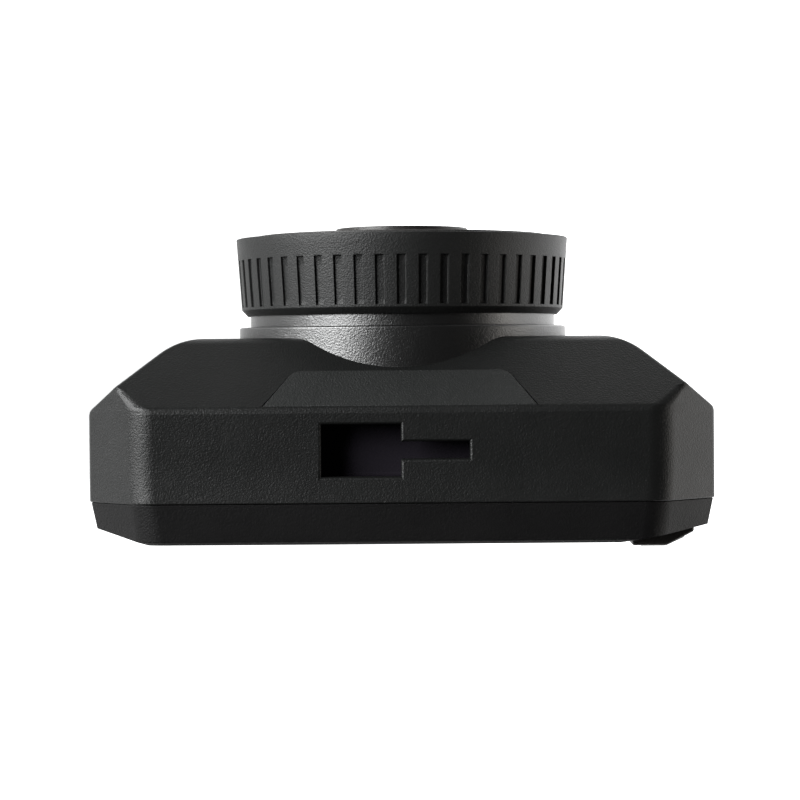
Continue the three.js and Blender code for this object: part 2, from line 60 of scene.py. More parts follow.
BOSS_FRONT = -1.5
HALF_WIDTH = (shell_high.x - shell_low.x) / 2 / MM
HALF_HEIGHT = (shell_high.z - shell_low.z) / 2 / MM
FRONT_Y = shell_low.y / MM - BOSS_FRONT  # the front plane's place in the frame
LENS_Z = (shell_high.z + shell_low.z) / 2 / MM  # the lens axis's place in the frame
SEAM = shell_high.y / MM - FRONT_Y  # where the front shell ends
REAR = cover_high.y / MM - FRONT_Y  # the rear cover's flat back

WALL = 1.8
CORNER_CUT = 7.3  # what each corner facet takes off the two sides it joins
FACET = (HALF_WIDTH + HALF_HEIGHT - CORNER_CUT) / math.sqrt(2)  # lens axis to facet
SLOPE_DEPTH = 9.25  # the slopes round the front plane end this far back
TOP_ANGLE = math.radians(45)
SIDE_ANGLE = math.radians(38.9)
COVER_INSET = 0.2  # the cover's sides start this far inside the shell's
COVER_DRAFT = 0.21  # and come in by this much per millimetre
BEVEL_DROP = 1.8  # depth of the bevels down both sides of the cover's back
SIDE_BEVEL = 8.3  # width of the plain one
KEY_BEVEL = 12.6  # width of the one on the keys' side

BOSS_RADIUS = 22.1
BOSS_REAR = 7
NECK_RADIUS = 20.6
NECK_BORE = 19
NECK_FRONT = -12.1
RING_RADIUS = 22.45
RING_REAR_RADIUS = 21.78
RING_FRONT = -13.4
RING_REAR = -3
GROOVES = 50
GROOVE_FRONT = RING_FRONT + 2.9
GROOVE_REAR = -4.2
GROOVE_DEPTH = 0.38
GROOVE_TURN = math.radians(-0.67)
PLATE_RADIUS = 19.8
PLATE_FRONT = -13.75
BEZEL_RADIUS = 8.9
BEZEL_FRONT = -14.8


def drawing_box(node):
    """Lowest and highest corners of a CAD node at rest, in the drawing frame."""
    return [(corner.x / MM, corner.y / MM - FRONT_Y, corner.z / MM - LENS_Z)
            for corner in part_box(node)]


def to_row(x, y, z):
    """A point of the drawing frame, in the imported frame's metres."""
    return Vector((x * MM, (y + FRONT_Y) * MM, (z + LENS_Z) * MM))


# ---- materials ---------------------------------------------------------------------
class Nodes:
    """A material's node tree, with short calls for adding and joining nodes."""

    def __init__(self, name):
        self.material = bpy.data.materials.new(name)
        self.material.use_nodes = True
        self.tree = self.material.node_tree
        self.shader = self.tree.nodes["Principled BSDF"]

    def add(self, kind, **inputs):
        node = self.tree.nodes.new(kind)
        for key, value in inputs.items():
            if key in node.inputs:
                node.inputs[key].default_value = value
            else:
                setattr(node, key, value)
        return node

    def join(self, source, target):
        self.tree.links.new(source, target)

    def place(self):
        """Object coordinates in metres."""
        return self.add("ShaderNodeTexCoord").outputs["Object"]

    def noise(self, scale, detail=4.0, roughness=0.5):
        node = self.add("ShaderNodeTexNoise", Scale=scale, Detail=detail, Roughness=roughness)
        self.join(self.place(), node.inputs["Vector"])
        return node.outputs["Fac"]

    def ramp(self, value, stops):
        node = self.add("ShaderNodeValToRGB")
        elements = node.color_ramp.elements
        while len(elements) < len(stops):
            elements.new(0.5)
        for element, (position, colour) in zip(elements, stops):
            element.position = position
            element.color = (*colour, 1)
        self.join(value, node.inputs["Fac"])
        return node.outputs["Color"]

    def span(self, value, low, high, start=0.0, end=1.0):
        """A value between start and end, spread between low and high."""
        node = self.add("ShaderNodeMapRange")
        node.inputs["From Min"].default_value = start
        node.inputs["From Max"].default_value = end
        node.inputs["To Min"].default_value = low
        node.inputs["To Max"].default_value = high
        self.join(value, node.inputs["Value"])
        return node.outputs["Result"]

    def calculate(self, operation, first, second):
        """A Math node's result from two other nodes' values."""
        node = self.add("ShaderNodeMath", operation=operation)
        self.join(first, node.inputs[0])
        self.join(second, node.inputs[1])
        return node.outputs["Value"]

    def bump(self, height, strength, distance, under=None):
        node = self.add("ShaderNodeBump", Strength=strength, Distance=distance)
        self.join(height, node.inputs["Height"])
        if under:
            self.join(under, node.inputs["Normal"])
        return node.outputs["Normal"]


def moulded_plastic(name, colour, roughness, grain=1.0, shine=0.5):
    """Moulded plastic with a fine spark-eroded grain and slightly uneven gloss."""
    n = Nodes(name)
    n.shader.inputs["Specular IOR Level"].default_value = shine
    cloud = n.noise(60, 3)
    dark = tuple(c * 0.88 for c in colour)
    light = tuple(c * 1.12 for c in colour)
    n.join(n.ramp(cloud, [(0.3, dark), (0.7, light)]), n.shader.inputs["Base Color"])
    n.join(n.span(n.noise(180, 4), roughness - 0.06, roughness + 0.06),
           n.shader.inputs["Roughness"])
    fine = n.bump(n.noise(4600, 2, 0.6), 0.8 * grain, 0.00007)
    n.join(n.bump(n.noise(2600, 2), 0.25 * grain, 0.00006, fine), n.shader.inputs["Normal"])
    return n.material


def metal(name, colour, roughness, brushed=0.0):
    """Plated metal with uneven gloss, or brushed metal with fine level lines."""
    n = Nodes(name)
    n.shader.inputs["Metallic"].default_value = 1.0
    tint = [(0.3, tuple(c * 0.9 for c in colour)), (0.7, colour)]
    n.join(n.ramp(n.noise(250, 4), tint), n.shader.inputs["Base Color"])
    n.join(n.span(n.noise(400, 3), roughness - 0.06, roughness + 0.08),
           n.shader.inputs["Roughness"])
    stretch = n.add("ShaderNodeMapping")
    stretch.inputs["Scale"].default_value = (1, 1, 30) if brushed else (1, 1, 1)
    lines = n.add("ShaderNodeTexNoise", Scale=900, Detail=3)
    n.join(n.place(), stretch.inputs["Vector"])
    n.join(stretch.outputs["Vector"], lines.inputs["Vector"])
    n.join(n.bump(lines.outputs["Fac"], 0.15 + brushed, 0.00003), n.shader.inputs["Normal"])
    return n.material


def coated_glass(name, colour, roughness=0.03, transmission=1.0, shine=0.5):
    """Polished glass or acrylic with a faint coating tint."""
    n = Nodes(name)
    n.shader.inputs["Transmission Weight"].default_value = transmission
    n.shader.inputs["IOR"].default_value = 1.5
    n.shader.inputs["Specular IOR Level"].default_value = shine
    tint = [(0.35, colour), (0.65, tuple(min(1, c * 1.1) for c in colour))]
    n.join(n.ramp(n.noise(90, 2), tint), n.shader.inputs["Base Color"])
    n.join(n.span(n.noise(500, 5), roughness, roughness + 0.01), n.shader.inputs["Roughness"])
    return n.material


def printed_window(name, centre_x, half_width, half_height):
    """Clear acrylic with a black printed border round the viewing area."""
    n = Nodes(name)
    axes = n.add("ShaderNodeSeparateXYZ")
    n.join(n.place(), axes.inputs["Vector"])

    def inside(axis, middle, half):
        offset = n.add("ShaderNodeMath", operation="SUBTRACT")
        offset.inputs[1].default_value = middle
        n.join(axes.outputs[axis], offset.inputs[0])
        size = n.add("ShaderNodeMath", operation="ABSOLUTE")
        n.join(offset.outputs[0], size.inputs[0])
        test = n.add("ShaderNodeMath", operation="LESS_THAN")
        test.inputs[1].default_value = half
        n.join(size.outputs[0], test.inputs[0])
        return test.outputs[0]

    view = n.calculate("MULTIPLY", inside("X", centre_x * MM, half_width * MM),
                       inside("Z", LENS_Z * MM, half_height * MM))
    n.join(n.ramp(view, [(0.4, (0.003, 0.003, 0.0035)), (0.6, (0.85, 0.87, 0.9))]),
           n.shader.inputs["Base Color"])
    n.join(view, n.shader.inputs["Transmission Weight"])
    n.shader.inputs["Specular IOR Level"].default_value = 0.2
    n.join(n.span(n.noise(400, 5), 0.015, 0.025), n.shader.inputs["Roughness"])
    return n.material


def circuit_board(name):
    """Green solder mask with traces and pads in a square pattern."""
    n = Nodes(name)
    cells = n.add("ShaderNodeTexVoronoi", Scale=700, distance="MANHATTAN", Randomness=0.4)
    n.join(n.place(), cells.inputs["Vector"])
    mask = [(0.25, (0.012, 0.11, 0.04)), (0.32, (0.02, 0.2, 0.075))]
    n.join(n.ramp(cells.outputs["Distance"], mask), n.shader.inputs["Base Color"])
    n.join(n.span(n.noise(500), 0.25, 0.4), n.shader.inputs["Roughness"])
    n.join(n.bump(cells.outputs["Distance"], 0.3, 0.00004), n.shader.inputs["Normal"])
    return n.material


# Moulded plastics: colour, roughness, depth of the grain, shine.
PLASTICS = {
    "shell_plastic": ((0.0036, 0.0038, 0.0037), 0.38, 1.0, 0.2),
    "cover_plastic": ((0.0015, 0.0014, 0.0015), 0.5, 1.0, 0.13),
    "pocket_plastic": ((0.005, 0.0038, 0.0065), 0.75, 0.6, 0.1),
    "pad_plastic": ((0.0065, 0.007, 0.0068), 0.46, 1.5, 0.25),
    "neck_plastic": ((0.002, 0.002, 0.002), 0.3, 0.8, 0.72),
    "ring_plastic": ((0.0055, 0.0057, 0.0056), 0.46, 1.2, 0.21),
    "plate_plastic": ((0.007, 0.0065, 0.006), 0.5, 1.0, 0.3),
    "bezel_plastic": ((0.007, 0.0062, 0.0056), 0.4, 0.6, 0.35),
    # The key strip is lighter than the cover partly as its own tone and partly as painted light:
    # lifted so its end, shaded from the key lamp by the cover, still reads lit.
    "strip_plastic": ((0.032, 0.03, 0.028), 0.5, 1.0, 0.35),
    "key_plastic": ((0.009, 0.009, 0.009), 0.5, 0.6, 0.4),
    "holder_plastic": ((0.014, 0.014, 0.015), 0.5),
    "connector_plastic": ((0.7, 0.68, 0.6), 0.45),
    "chip_black": ((0.012, 0.012, 0.014), 0.45),
    "backlight_plastic": ((0.8, 0.8, 0.78), 0.5),
    "ribbon_film": ((0.45, 0.2, 0.04), 0.35),
}
# Metals: colour, roughness and, where brushed, the depth of the lines.
METALS = {
    "barrel_metal": ((0.03, 0.03, 0.032), 0.4),
    "sensor_chip": ((0.1, 0.13, 0.2), 0.15),
    "battery_foil": ((0.6, 0.61, 0.63), 0.4),
    "speaker_metal": ((0.45, 0.45, 0.46), 0.35),
    "socket_steel": ((0.6, 0.6, 0.61), 0.28, 0.2),
    "screw_steel": ((0.13, 0.13, 0.135), 0.35),
}
# Glass: tint, roughness, transmission, shine.
GLASSES = {
    "cover_glass": ((0.85, 0.9, 0.93),),
    "lens_glass": ((0.14, 0.16, 0.32),),
    "screen_glass": ((0.008, 0.009, 0.012), 0.03, 0.0, 0.1),
}
VIEW_CENTRE = 1.9  # middle of the screen's viewing area along x
VIEW_HALF_WIDTH = 24.5
VIEW_HALF_HEIGHT = 18.35

materials = {name: moulded_plastic(name, *look) for name, look in PLASTICS.items()}
materials.update((name, metal(name, *look)) for name, look in METALS.items())
materials.update((name, coated_glass(name, *look)) for name, look in GLASSES.items())
materials["circuit_board"] = circuit_board("circuit_board")
materials["window_acrylic"] = printed_window(
    "window_acrylic", VIEW_CENTRE, VIEW_HALF_WIDTH, VIEW_HALF_HEIGHT)
for part in frame["record"]["subparts"]:
    node = frame["nodes"][part["node"]]
    node.data.materials.clear()
    node.data.materials.append(materials[part["material_slot"]])


# ---- mesh helpers ------------------------------------------------------------------
def make_object(name, points, faces):
    """A mesh object from drawing-frame points, its faces turned outwards."""
    mesh = bpy.data.meshes.new(name)
    mesh.from_pydata([to_row(*p) for p in points], [], faces)
    obj = bpy.data.objects.new(name, mesh)
    bpy.context.scene.collection.objects.link(obj)
    work = bmesh.new()
    work.from_mesh(mesh)
    bmesh.ops.remove_doubles(work, verts=work.verts, dist=1e-7)
    bmesh.ops.recalc_face_normals(work, faces=work.faces)
    work.to_mesh(mesh)
    work.free()
    return obj


def loft(name, rings, ends=True):
    """A skin over closed rings of equally many points, with flat ends, or closed on itself."""
    count = len(rings[0])
    points = [p for ring in rings for p in ring]
    faces = []
    for i in range(len(rings) - 1 if ends else len(rings)):
        here = i * count
        there = (i + 1) % len(rings) * count
        for j in range(count):
            k = (j + 1) % count
            faces.append((here + j, here + k, there + k, there + j))
    if ends:
        faces.append(tuple(range(count)))
        faces.append(tuple(range(len(points) - count, len(points))))
    return make_object(name, points, faces)


def rounded_path(corners, steps=8):
    """Points along a path of [u, v, radius] corners, each rounded by a true arc."""
    path = []
    for i, (u, v, radius) in enumerate(corners):
        if not radius:
            path.append((u, v))
            continue
        here = Vector((u, v))
        back = (Vector(corners[i - 1][:2]) - here).normalized()
        ahead = (Vector(corners[(i + 1) % len(corners)][:2]) - here).normalized()
        half = back.angle(ahead) / 2
        centre = here + (back + ahead).normalized() * (radius / math.sin(half))
        first = here + back * (radius / math.tan(half)) - centre
        last = here + ahead * (radius / math.tan(half)) - centre
        turn = first.angle_signed(last)
        for step in range(steps + 1):
            path.append(tuple(centre + Matrix.Rotation(-turn * step / steps, 2) @ first))
    return path


def turned(name, corners, at=(0, 0), segments=144, steps=6):
    """A piece turned about an axis along y from a closed profile of [radius, y, rounding]."""
    profile = rounded_path(corners, steps)
    rings = []
    for i in range(segments):
        turn = 2 * math.pi * i / segments
        rings.append([(at[0] + r * math.sin(turn), y, at[1] + r * math.cos(turn))
                      for r, y in profile])
    return loft(name, rings, ends=False)


def disc(name, radius, y0, y1, at=(0, 0), segments=144):
    """A plain round tool for cutting holes, about an axis along y."""
    turns = [2 * math.pi * i / segments for i in range(segments)]
    rings = [[(at[0] + radius * math.sin(t), y, at[1] + radius * math.cos(t)) for t in turns]
             for y in (y0, y1)]
    return loft(name, rings)


def standing_hole(x, y, radius, z0, z1, flare):
    """Cutter for a round hole through the underside, widened a little at its outer end z0."""
    turns = [2 * math.pi * i / 28 for i in range(28)]
    sizes = [(z0 - 1, radius + flare), (z0, radius + flare), (z0 + flare, radius), (z1, radius)]
    rings = [[(x + r * math.cos(t), y + r * math.sin(t), z) for t in turns] for z, r in sizes]
    return loft("sound_hole", rings)


def box_tool(name, low, high):
    """A plain block for cutting holes."""
    corners = [(low[0], low[1]), (high[0], low[1]), (high[0], high[1]), (low[0], high[1])]
    rings = [[(x, y, z) for x, y in corners] for z in (low[2], high[2])]
    return loft(name, rings)


def grown(outline, amount):
    """The closed outline with all its sides moved outwards by `amount`."""
    area = sum(outline[i - 1][0] * outline[i][1] - outline[i][0] * outline[i - 1][1]
               for i in range(len(outline)))
    outwards = amount if area > 0 else -amount
    moved = []
    for i, here in enumerate(outline):
        before = (Vector(here) - Vector(outline[i - 1])).normalized()
        after = (Vector(outline[(i + 1) % len(outline)]) - Vector(here)).normalized()
        side = Vector((before.y + after.y, -before.x - after.x))
        moved.append(tuple(Vector(here) + side * outwards / (1 + before.dot(after))))
    return moved


def rim_levels(low, high, low_edge=0.0, high_edge=0.0, steps=4):
    """[height, pull-in] levels from low to high, with quarter-round edges."""
    levels = []
    for step in range(steps + 1):
        turn = math.pi / 2 * step / steps
        levels.append((low + low_edge * (1 - math.cos(turn)), low_edge * (1 - math.sin(turn))))
    for step in range(steps + 1):
        turn = math.pi / 2 * step / steps
        levels.append((high - high_edge * (1 - math.sin(turn)), high_edge * (1 - math.cos(turn))))
    kept = [levels[0]]
    for level in levels[1:]:
        if level[0] - kept[-1][0] > 1e-6:
            kept.append(level)
    return kept


def extruded(name, outline, levels, place):
    """Outline drawn out over [height, pull-in] levels; place(u, v, height) gives the point."""
    rings = [[place(u, v, height) for u, v in grown(outline, -pull)] for height, pull in levels]
    return loft(name, rings)


def facing_rear(u, v, height):
    return u, height, v


def facing_up(u, v, height):
    return u, v, height


def facing_side(u, v, height):
    return height, u, v


def rounded_rectangle(u0, u1, v0, v1, radius):
    corners = [(u0, v0, radius), (u1, v0, radius), (u1, v1, radius), (u0, v1, radius)]
    return rounded_path(corners, 6)


def combine(obj, tool, operation):
    """Boolean of obj with tool, which is used up."""
    modifier = obj.modifiers.new("combine", "BOOLEAN")
    modifier.operation = operation
    modifier.solver = "EXACT"
    modifier.object = tool
    shaped = bpy.data.meshes.new_from_object(
        obj.evaluated_get(bpy.context.evaluated_depsgraph_get()))
    obj.modifiers.clear()
    old = obj.data
    obj.data = shaped
    bpy.data.meshes.remove(old)
    bpy.data.objects.remove(tool)
    return obj


def finish_piece(obj, slot, body, replaced=(), sharp=35, flat_faces=True):
    """Shading, material and place in the frame for a finished piece."""
    for polygon in obj.data.polygons:
        polygon.use_smooth = True
    work = bmesh.new()
    work.from_mesh(obj.data)
    for edge in work.edges:
        if len(edge.link_faces) == 2:
            edge.smooth = edge.calc_face_angle(0) < math.radians(sharp)
    work.to_mesh(obj.data)
    work.free()
    if flat_faces:
        weighted = obj.modifiers.new("flat_faces_stay_flat", "WEIGHTED_NORMAL")
        weighted.keep_sharp = True
    obj.data.materials.clear()
    obj.data.materials.append(materials[slot])
    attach(obj, body)
    if replaced:
        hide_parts(*replaced)
    return obj


# ---- body --------------------------------------------------------------------------
TOP_DIP = 0.3  # the top face lies this much below its rear rim
CREASE = 9.5  # the slope's rounding meets the top face in a crease here
SIDE_BEND = 8.7  # rounding between the front plane and the side slopes
TOP_BEND = 2.5  # rounding between the front plane and the upper and lower slopes
SHOULDER_EDGE = 1.2  # rounding between a side slope and the side
SEAM_EDGE = 0.15  # rounding of the rim at the seam
CREASE_BEND = 1.1  # rounding of the upper slope where it runs into the crease
CROWN_Y = SEAM - 3.3  # from here the top face rises to its rim,
CROWN_BEND = 60  # in a bend of this radius
LEAST_ROUND = 0.4  # rounding of a section's corner where its facet begins
MOST_ROUND = 5.0  # and where the facet is widest
CUT_PER_ROUND = 0.293  # half a corner's cut, per radius, when its two roundings meet


def plan_profile(inset):
    """[half width, y] from the front plane round the side slope to the seam."""
    flat = HALF_WIDTH - SLOPE_DEPTH / math.tan(SIDE_ANGLE) - inset * math.tan(SIDE_ANGLE / 2)
    shoulder = SLOPE_DEPTH + inset * math.tan((math.pi / 2 - SIDE_ANGLE) / 2)
    side = HALF_WIDTH - inset
    corners = [(flat - 12, inset, 0), (flat, inset, SIDE_BEND - inset),
               (side, shoulder, max(0.1, SHOULDER_EDGE - inset)),
               (side, SEAM, SEAM_EDGE), (side - 1, SEAM, 0)]
    return rounded_path(corners, 12)[1:-1]


def height_profile(inset, dip=0.0):
    """[half height, y] from the front plane over the upper slope to the seam.

    With a dip, the slope ends in a soft crease and the top face rises again to the rim.
    """
    flat = HALF_HEIGHT - SLOPE_DEPTH - inset * math.tan(TOP_ANGLE / 2)
    high = HALF_HEIGHT - inset
    corners = [(flat - 12, inset, 0), (flat, inset, TOP_BEND - inset)]
    if dip:
        corners += [(high - dip - 0.15, CREASE - 0.7, CREASE_BEND), (high - dip, CREASE, 0.02),
                    (high - dip, CROWN_Y, CROWN_BEND)]
    else:
        corners += [(high, SLOPE_DEPTH + inset * math.tan(TOP_ANGLE / 2), 1.5)]
    corners += [(high, SEAM, SEAM_EDGE), (high - 1, SEAM, 0)]
    return rounded_path(corners, 12)[1:-1]


def half_at(profile, y):
    """Half extent of a profile at depth y; the profile runs in rising y."""
    for (u0, y0), (u1, y1) in zip(profile, profile[1:]):
        if y0 <= y <= y1 and y1 > y0:
            return u0 + (u1 - u0) * (y - y0) / (y1 - y0)
    return profile[0][0] if y < profile[0][1] else profile[-1][0]


def section(y, wide, top, bottom, facet, roundest, side_round, steps=6):
    """Eight-sided section at depth y; the corners grow rounder as the facets grow wider."""
    ring = []
    for sx, sz, high in ((1, 1, top), (-1, 1, top), (-1, -1, bottom), (1, -1, bottom)):
        corner = facet * math.sqrt(2)
        room = (wide + high - corner) / CUT_PER_ROUND - 2 * LEAST_ROUND
        if room > 0:
            near_side = min(side_round, LEAST_ROUND + room * 0.2)
            near_top = min(roundest, LEAST_ROUND + room * 0.75)
            lower = (wide - near_side, corner - math.sqrt(2) * near_side - wide + near_side)
            upper = (corner - math.sqrt(2) * near_top - high + near_top, high - near_top)
        else:
            near_side = near_top = LEAST_ROUND
            lower = upper = (wide - LEAST_ROUND, high - LEAST_ROUND)
        arc = []
        for (cx, cz), radius, start in ((lower, near_side, 0), (upper, near_top, math.pi / 4)):
            for step in range(steps + 1):
                turn = start + math.pi / 4 * step / steps
                arc.append((sx * (cx + radius * math.cos(turn)), y,
                            sz * (cz + radius * math.sin(turn))))
        ring.extend(arc if sx * sz > 0 else arc[::-1])
    return ring


def merged_levels(*profiles):
    """All the depths at which any of the profiles has a point, a little apart."""
    levels = []
    for y in sorted(y for profile in profiles for _, y in profile):
        if not levels or y - levels[-1] > 0.004:
            levels.append(y)
    return levels


def body_skin(name, inset, dip=0.0, rear=None):
    """The closed outer or inner form of the front shell, drawn out straight to `rear`."""
    plan = plan_profile(inset)
    upper = height_profile(inset, dip)
    lower = height_profile(inset)
    between = [(0, 5 + 0.2 * i) for i in range(24)]  # finer where the facets grow
    rings = []
    for y in merged_levels(plan, upper, lower, between):
        facet = FACET - inset - max(0, y - SEAM + SEAM_EDGE) * 0.6
        roundest = min(MOST_ROUND, 2.6 + max(0, y - 7))  # tighter on the slopes
        rings.append(section(y, half_at(plan, y), half_at(upper, y), half_at(lower, y),
                             facet, roundest, SHOULDER_EDGE))
    if rear:
        before_rim = rings[-8]
        rings[-1:] = [[(x, rear, z) for x, y, z in before_rim]]
    return loft(name, rings)


MOUTH = (-0.1, 9.9, 10.95, 17.5)  # left, right, front and rear of the slot's wide mouth
SLOT_END = -8.7
SLOT_HALF = 2.15 / 2
SLOT_CENTRE = 14.2
SLOT_EDGE = 0.38


def bracket_slot():
    """Cutter for the T-shaped bracket slot, rounded over at the mouth."""
    left, right, front, rear = MOUTH
    outline = [
        (left, front), (right, front), (right, rear), (left, rear),
        (left, SLOT_CENTRE + SLOT_HALF), (SLOT_END, SLOT_CENTRE + SLOT_HALF),
        (SLOT_END, SLOT_CENTRE - SLOT_HALF), (left, SLOT_CENTRE - SLOT_HALF),
    ]
    surface = HALF_HEIGHT - TOP_DIP
    levels = [(surface - 4, 0)]
    for step in range(13):
        turn = math.pi / 2 * step / 12
        levels.append((surface - SLOT_EDGE * (1 - math.sin(turn)),
                       -SLOT_EDGE * (1 - math.cos(turn))))
    levels.append((surface + 1, -SLOT_EDGE))
    return extruded("bracket_slot", outline, levels, facing_up)


POWER_HOLE = (12.65, 16.85)  # front and rear edges, and half the height
POWER_HOLE_HALF = 4.3
CARD_SLIT = (15.5, 16.8)
CARD_SLIT_HALF = 5.8


def power_hole():
    """Cutter for the power socket's hole, flared outwards, on the right side."""
    outline = rounded_rectangle(*POWER_HOLE, -POWER_HOLE_HALF, POWER_HOLE_HALF, 1.2)
    levels = [(36, 0), (HALF_WIDTH - 0.3, 0), (HALF_WIDTH + 0.2, -0.5)]
    return extruded("power_hole", outline, levels, facing_side)


def card_hole():
    """Cutter for the memory card's slit, flared outwards, on the left side."""
    outline = rounded_rectangle(*CARD_SLIT, -CARD_SLIT_HALF, CARD_SLIT_HALF, 0.3)
    levels = [(-HALF_WIDTH - 0.2, -0.4), (-HALF_WIDTH + 0.2, 0), (-35, 0)]
    return extruded("card_hole", outline, levels, facing_side)


SOUND_HOLES = 6
SOUND_HOLE_PITCH = 2.1
SOUND_HOLE_RADIUS = 0.6
SPEAKER_X = 20
MICROPHONE_X = -20
SOUND_Y = 13.4


def sound_holes():
    """Cutters for the row of holes under the speaker and the one under the microphone."""
    row = [SPEAKER_X + (i - (SOUND_HOLES - 1) / 2) * SOUND_HOLE_PITCH for i in range(SOUND_HOLES)]
    return [standing_hole(x, SOUND_Y, SOUND_HOLE_RADIUS, -HALF_HEIGHT, -HALF_HEIGHT + 3, 0.15)
            for x in row + [MICROPHONE_X]]


def front_shell():
    """The front housing, hollow, with the openings for everything that meets it."""
    shell = body_skin("shell_moulding", 0, TOP_DIP)
    cutters = [
        body_skin("hollow", WALL, 0, SEAM + 1),
        disc("boss_hole", BOSS_RADIUS - 0.03, BOSS_FRONT - 1, BOSS_REAR + 1),
        bracket_slot(), pad_form("pad_recess", PAD_GAP, -0.6, 3), power_hole(), card_hole(),
    ]
    for cutter in cutters + sound_holes():
        combine(shell, cutter, "DIFFERENCE")
    return finish_piece(shell, "shell_plastic", "camera_body", ["front_shell"], sharp=10)


def lens_boss():
    """The round boss on the shell's front, smoother than the rest of the moulding."""
    boss = turned("shell_lens_boss", [
        (NECK_RADIUS + 0.15, BOSS_FRONT, 0.1), (BOSS_RADIUS, BOSS_FRONT, 0.3),
        (BOSS_RADIUS, BOSS_REAR, 0), (NECK_RADIUS + 0.15, BOSS_REAR, 0)])
    return finish_piece(boss, "neck_plastic", "camera_body", ["front_shell"])


# ---- slope pad ---------------------------------------------------------------------
PAD_FRONT = 22.75
PAD_TOP_HALF = 13.5
PAD_BOTTOM_HALF = 17.2
PAD_START = 0.9  # up the slope from the edge where the slope would meet the top face
PAD_TILT = 0.07  # the pad rises out of the slope by this much per millimetre
PAD_CORNER = 2.2
PAD_GAP = 0.16  # between the pad and the edges of its recess


def pad_form(name, gap, bottom, top, edge=0.0, tilt=0.0):
    """Trapezoid on the upper slope, from `bottom` to `top` above the slope's surface."""
    length = (HALF_HEIGHT - PAD_FRONT) / math.sin(TOP_ANGLE)
    outline = rounded_path([
        (-PAD_BOTTOM_HALF - gap, PAD_START, 0), (PAD_BOTTOM_HALF + gap, PAD_START, 0),
        (PAD_TOP_HALF + gap, length + gap, PAD_CORNER),
        (-PAD_TOP_HALF - gap, length + gap, PAD_CORNER)])
    lean = Vector((0, -math.cos(TOP_ANGLE), -math.sin(TOP_ANGLE)))
    out = Vector((0, -math.sin(TOP_ANGLE), math.cos(TOP_ANGLE)))
    foot = Vector((0, SLOPE_DEPTH, HALF_HEIGHT))

    def on_slope(u, v, height):
        rise = tilt * (v - PAD_START) if height > bottom else 0
        return tuple(foot + Vector((u, 0, 0)) + lean * v + out * (height + rise))

    return extruded(name, outline, rim_levels(bottom, top, 0, edge), on_slope)


def slope_pad():
    """The thin pad let into the upper slope."""
    pad = pad_form("slope_pad_moulding", 0, -0.5, 0.03, 0.12, PAD_TILT)
    return finish_piece(pad, "pad_plastic", "camera_body", ["slope_pad"])


# ---- lens --------------------------------------------------------------------------
def lens_neck():
    """The tube that carries the ring, with a flange inside the shell."""
    neck = turned("lens_neck_tube", [
        (NECK_BORE, NECK_FRONT, 0.1), (NECK_RADIUS, NECK_FRONT, 0.2),
        (NECK_RADIUS, BOSS_REAR + 0.2, 0), (NECK_RADIUS + 1.8, BOSS_REAR + 0.2, 0.1),
        (NECK_RADIUS + 1.8, BOSS_REAR + 1.6, 0.1), (NECK_BORE, BOSS_REAR + 1.6, 0.1)])
    return finish_piece(neck, "neck_plastic", "camera_body", ["lens_neck"])


# Share of the full groove depth across a groove [pitches from its middle] and along it.
GROOVE_ACROSS = [(0.07, 1), (0.175, 1), (0.196, 0.88), (0.204, 0.16), (0.212, 0.03), (0.226, 0),
                 (0.24, 0), (0.32, 0), (0.41, 0), (0.5, 0)]
GROOVE_ALONG = [
    (GROOVE_FRONT - 0.3, 0), (GROOVE_FRONT - 0.1, 0), (GROOVE_FRONT - 0.03, 0.03),
    (GROOVE_FRONT, 0.14), (GROOVE_FRONT + 0.04, 0.9), (GROOVE_FRONT + 0.14, 1),
    (-9, 1), (-7.6, 1), (-6.2, 1), (-5, 1), (GROOVE_REAR - 0.14, 1), (GROOVE_REAR - 0.03, 0.9),
    (GROOVE_REAR, 0.14), (GROOVE_REAR + 0.04, 0), (GROOVE_REAR + 0.12, 0),
]


def lens_ring():
    """Grip ring, tapering to the rear: square-cut grooves behind a plain band."""
    inner = NECK_RADIUS + 0.3
    lip = PLATE_RADIUS + 0.3
    step_y = NECK_FRONT - 0.3
    edge_y = RING_REAR - 0.85

    def land(y):
        share = (y - RING_FRONT) / (edge_y - RING_FRONT)
        return RING_RADIUS + (RING_REAR_RADIUS - RING_RADIUS) * share

    front = rounded_path([(inner, step_y, 0), (lip, step_y, 0), (lip, RING_FRONT, 0.12),
                          (RING_RADIUS, RING_FRONT, 0.13), (land(-12), -12, 0)], 5)
    back = rounded_path([(land(-5), -5, 0), (RING_REAR_RADIUS, edge_y, 0.25),
                         (RING_REAR_RADIUS - 0.8, RING_REAR, 0.03), (inner, RING_REAR, 0.02),
                         (inner, step_y, 0)], 5)[1:-1]
    rows = [(r, y, 0) for r, y in front]
    rows += [(land(y), y, share) for y, share in GROOVE_ALONG]
    rows += [(r, y, 0) for r, y in back]
    across = [(-c, share) for c, share in reversed(GROOVE_ACROSS[:-1])] + GROOVE_ACROSS
    rings = []
    for i in range(GROOVES):
        for column, column_share in across:
            turn = 2 * math.pi * (i + column) / GROOVES + GROOVE_TURN
            ring = []
            for r, y, row_share in rows:
                r -= GROOVE_DEPTH * min(row_share, column_share)
                ring.append((r * math.sin(turn), y, r * math.cos(turn)))
            rings.append(ring)
    ring = loft("lens_ring_grip", rings, ends=False)
    return finish_piece(ring, "ring_plastic", "knurled_ring", ["lens_ring"], flat_faces=False)


